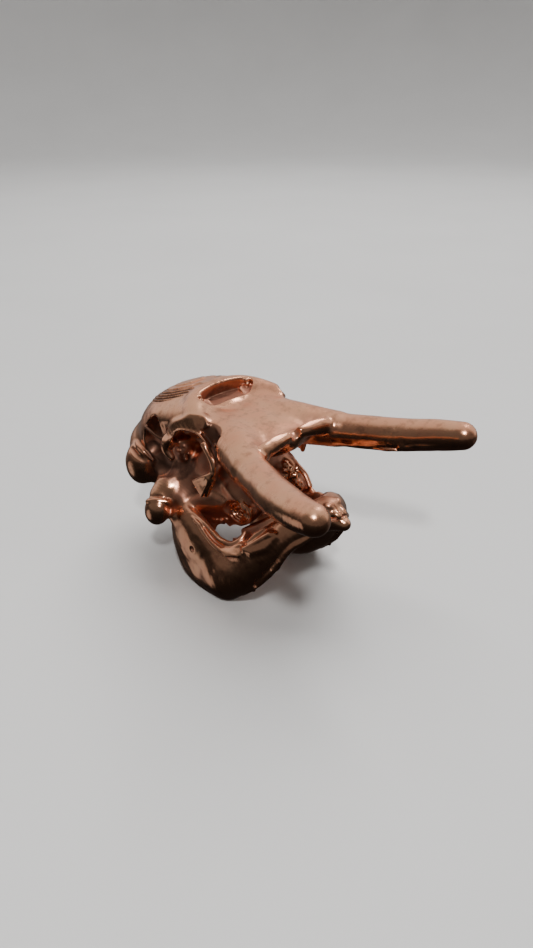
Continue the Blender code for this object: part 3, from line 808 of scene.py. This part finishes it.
class Nodes:
    """A short way to write a material's or world's node tree."""

    def __init__(self, owner):
        owner.use_nodes = True
        self.tree = owner.node_tree
        self.tree.nodes.clear()

    def add(self, kind, settings=None, **inputs):
        node = self.tree.nodes.new(kind)
        for name, value in (settings or {}).items():
            setattr(node, name, value)
        for name, value in inputs.items():
            self.set(node, name.replace("_", " "), value)
        return node

    def set(self, node, name, value):
        socket = node.inputs[int(name)] if name.isdigit() else node.inputs[name]
        if isinstance(value, bpy.types.NodeSocket):
            self.tree.links.new(value, socket)
        else:
            socket.default_value = value

    def noise(self, where, scale, detail=3.0, rough=0.5):
        node = self.add("ShaderNodeTexNoise", Scale=scale, Detail=detail, Roughness=rough)
        self.set(node, "Vector", where)
        return node.outputs["Fac"]

    def ramp(self, value, stops):
        """The value spread over stops, each a position and a brightness."""
        node = self.add("ShaderNodeValToRGB")
        band = node.color_ramp
        for k, (place, shade) in enumerate(stops):
            stop = band.elements[k] if k < 2 else band.elements.new(place)
            stop.position = place
            stop.color = (shade, shade, shade, 1.0)
        self.set(node, "Fac", value)
        return node.outputs["Color"]

    def math(self, operation, a, b, clamp=False):
        node = self.add("ShaderNodeMath", {"operation": operation, "use_clamp": clamp})
        self.set(node, "0", a)
        self.set(node, "1", b)
        return node.outputs["Value"]

    def mix(self, share, a, b):
        node = self.add("ShaderNodeMix", {"data_type": "RGBA"})
        self.set(node, "0", share)
        self.set(node, "6", a)
        self.set(node, "7", b)
        return node.outputs[2]


PALE_COPPER = (0.95, 0.49, 0.29, 1.0)
PINK_COPPER = (0.94, 0.44, 0.26, 1.0)
BROWN_COPPER = (0.62, 0.28, 0.17, 1.0)
# Painted shade: the colour of the hollows.
SHADED_RED_COPPER = (0.54, 0.25, 0.17, 1.0)
# Painted shade: the near black of the darkest hollows and of the terrace treads.
DARK_SHADE_BROWN = (0.16, 0.08, 0.055, 1.0)


def copper_material():
    """Plated copper: satin where brushing reached it, glossy elsewhere, and painted shade that makes it
    redder and darker in the hollows and near black in the darkest.
    """
    material = bpy.data.materials.new("copper")
    nodes = Nodes(material)
    where = nodes.add("ShaderNodeTexCoord").outputs["Object"]
    hollow, painted_dark_shade, edge, upward = (
        nodes.add("ShaderNodeAttribute", {"attribute_name": name}).outputs["Fac"]
        for name in ("hollow", "painted_dark_shade", "edge", "upward")
    )
    clouds = nodes.noise(where, 160.0, 4.0, 0.6)
    mottle = nodes.noise(where, 700.0, 5.0, 0.65)
    grain = nodes.noise(where, 3200.0, 3.0, 0.6)
    open_copper = nodes.mix(nodes.ramp(clouds, [(0.38, 0.0), (0.62, 1.0)]), PALE_COPPER, PINK_COPPER)
    stains = nodes.noise(where, 420.0, 5.0, 0.7)
    open_copper = nodes.mix(nodes.ramp(stains, [(0.50, 0.0), (0.66, 0.8)]), open_copper, BROWN_COPPER)
    # Painted shade: redder and darker where metal blocks the view.
    deep = nodes.ramp(hollow, [(0.18, 0.0), (0.62, 1.0)])
    colour = nodes.mix(deep, open_copper, SHADED_RED_COPPER)
    colour = nodes.mix(nodes.math("MULTIPLY", edge, 0.5), colour, PINK_COPPER)
    # Painted shade: near black in the darkest hollows and on the terrace treads, spread by the stains.
    spread = nodes.math("MULTIPLY", stains, 0.6)
    black = nodes.ramp(nodes.math("ADD", painted_dark_shade, spread), [(0.55, 0.0), (0.85, 0.85)])
    colour = nodes.mix(black, colour, DARK_SHADE_BROWN)
    brushed = nodes.math("SUBTRACT", upward, edge, clamp=True)
    rough = nodes.math("ADD", nodes.math("MULTIPLY", mottle, MOTTLED), POLISHED)
    rough = nodes.math("ADD", rough, nodes.math("MULTIPLY", brushed, BRUSHED))
    dull = nodes.math("MAXIMUM", deep, painted_dark_shade)
    rough = nodes.math("ADD", rough, nodes.math("MULTIPLY", dull, DULLED), clamp=True)
    height = nodes.math("ADD", nodes.math("MULTIPLY", mottle, 0.6), nodes.math("MULTIPLY", grain, 0.16))
    bump = nodes.add("ShaderNodeBump", Strength=0.35, Distance=0.00012)
    nodes.set(bump, "Height", height)
    shader = nodes.add("ShaderNodeBsdfPrincipled", Metallic=1.0)
    nodes.set(shader, "Base Color", colour)
    nodes.set(shader, "Roughness", rough)
    nodes.set(shader, "Normal", bump.outputs["Normal"])
    out = nodes.add("ShaderNodeOutputMaterial")
    nodes.set(out, "Surface", shader.outputs["BSDF"])
    return material


def floor_material():
    material = bpy.data.materials.new("floor")
    nodes = Nodes(material)
    where = nodes.add("ShaderNodeTexCoord").outputs["Object"]
    tint = nodes.mix(nodes.noise(where, 12.0, 4.0), (0.62, 0.61, 0.60, 1.0), (0.68, 0.67, 0.66, 1.0))
    shader = nodes.add("ShaderNodeBsdfPrincipled", Roughness=0.9)
    nodes.set(shader, "Base Color", tint)
    out = nodes.add("ShaderNodeOutputMaterial")
    nodes.set(out, "Surface", shader.outputs["BSDF"])
    return material


def make_floor():
    """A pale floor that curves up into a backdrop all round, so that every view has a plain ground."""
    rings = [(FLOOR_REACH * k / 8, 0.0) for k in range(1, 9)]
    for k in range(1, 13):
        turn = math.radians(90 * k / 12)
        rings.append((FLOOR_REACH + FLOOR_BEND * math.sin(turn), FLOOR_BEND * (1 - math.cos(turn))))
    rings.append((FLOOR_REACH + FLOOR_BEND, WALL_TOP))
    bm = bmesh.new()
    loops = []
    for radius, height in rings:
        loop = []
        for k in range(FLOOR_SIDES):
            turn = 2 * math.pi * k / FLOOR_SIDES
            loop.append(bm.verts.new((radius * math.cos(turn), radius * math.sin(turn), height)))
        loops.append(loop)
    bm.faces.new(loops[0])
    for inner, outer in zip(loops, loops[1:]):
        for k in range(FLOOR_SIDES):
            after = (k + 1) % FLOOR_SIDES
            bm.faces.new((inner[k], outer[k], outer[after], inner[after]))
    mesh = bpy.data.meshes.new("floor")
    bm.to_mesh(mesh)
    bm.free()
    mesh.shade_smooth()
    mesh.materials.append(floor_material())
    floor = bpy.data.objects.new("floor", mesh)
    bpy.context.scene.collection.objects.link(floor)
    # The metal mirrors the dark lower half of the surroundings instead of this pale floor.
    floor.visible_glossy = False


def light(name, azimuth, elevation, distance, size, watts, mirrored=True, cast=True):
    """A soft lamp that faces the figurine. mirrored: seen in the metal. cast: lights the floor."""
    lamp = bpy.data.lights.new(name, "AREA")
    lamp.shape, lamp.size, lamp.energy = "DISK", size, watts
    back = direction(azimuth, elevation)
    obj = bpy.data.objects.new(name, lamp)
    obj.visible_glossy = mirrored
    obj.visible_diffuse = cast
    obj.location = Vector(LAMPS_FACE) + back * distance
    obj.rotation_mode = "QUATERNION"
    obj.rotation_quaternion = (-back).to_track_quat("-Z", "Y")
    bpy.context.scene.collection.objects.link(obj)


def direction(azimuth, elevation):
    """A unit vector. Azimuth 0 is in front of the figurine, and negative is on its right."""
    a, e = math.radians(azimuth), math.radians(elevation)
    return Vector((math.sin(a) * math.cos(e), -math.cos(a) * math.cos(e), math.sin(e)))


def make_world():
    """Surroundings that the metal mirrors: bright on one side and overhead, dim elsewhere, dark below."""
    world = bpy.data.worlds.new("studio")
    bpy.context.scene.world = world
    nodes = Nodes(world)
    where = nodes.add("ShaderNodeTexCoord").outputs["Generated"]
    axes = nodes.add("ShaderNodeSeparateXYZ")
    nodes.set(axes, "Vector", where)
    toward = nodes.add("ShaderNodeVectorMath", {"operation": "DOT_PRODUCT"})
    nodes.set(toward, "0", where)
    nodes.set(toward, "1", direction(*BRIGHT_SIDE))
    side = nodes.math("ADD", nodes.math("MULTIPLY", toward.outputs["Value"], 0.5), 0.5)
    height = nodes.math("ADD", nodes.math("MULTIPLY", axes.outputs["Z"], 0.5), 0.5)
    across = [(0.0, 0.10), (0.5, 0.14), (0.57, 0.21), (0.63, 0.41), (0.70, 0.67), (1.0, 0.78)]
    upward = [(0.06, 0.08), (0.21, 0.13), (0.33, 0.20), (0.41, 0.27), (0.45, 0.5), (0.48, 0.85), (0.52, 1.0)]
    room = nodes.ramp(side, across)
    fall = nodes.ramp(height, upward)
    toward_pool = nodes.add("ShaderNodeVectorMath", {"operation": "DOT_PRODUCT"})
    nodes.set(toward_pool, "0", where)
    nodes.set(toward_pool, "1", direction(*LIT_GROUND))
    pool = nodes.ramp(toward_pool.outputs["Value"], [(0.955, 0.0), (0.975, 0.38)])
    background = nodes.add("ShaderNodeBackground", Strength=1.0)
    nodes.set(background, "Color", nodes.math("ADD", nodes.math("MULTIPLY", room, fall), pool))
    out = nodes.add("ShaderNodeOutputWorld")
    nodes.set(out, "Surface", background.outputs["Background"])


def make_camera():
    data = bpy.data.cameras.new("camera")
    data.sensor_width = SENSOR
    data.lens = FOCAL_PIXELS / IMAGE_HEIGHT * SENSOR
    data.clip_start, data.clip_end = 0.005, 20.0
    camera = bpy.data.objects.new("camera", data)
    camera.location = Vector(CAMERA_PLACE) * MM
    camera.rotation_mode = "QUATERNION"
    camera.rotation_quaternion = Vector(CAMERA_LOOKS).to_track_quat("-Z", "Y")
    bpy.context.scene.collection.objects.link(camera)
    bpy.context.scene.camera = camera


make_camera()
make_floor()
make_world()
# Azimuth and elevation in degrees, distance and size in metres, and watts.
light("key", -40, 52, 0.5, 0.045, 1.2)
light("window", 93, 52, 0.5, 0.12, 0.3, cast=False)
light("soft", 120, 62, 1.0, 0.9, 12.0, mirrored=False)
skin = make_skin()
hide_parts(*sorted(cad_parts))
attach(skin, "root")
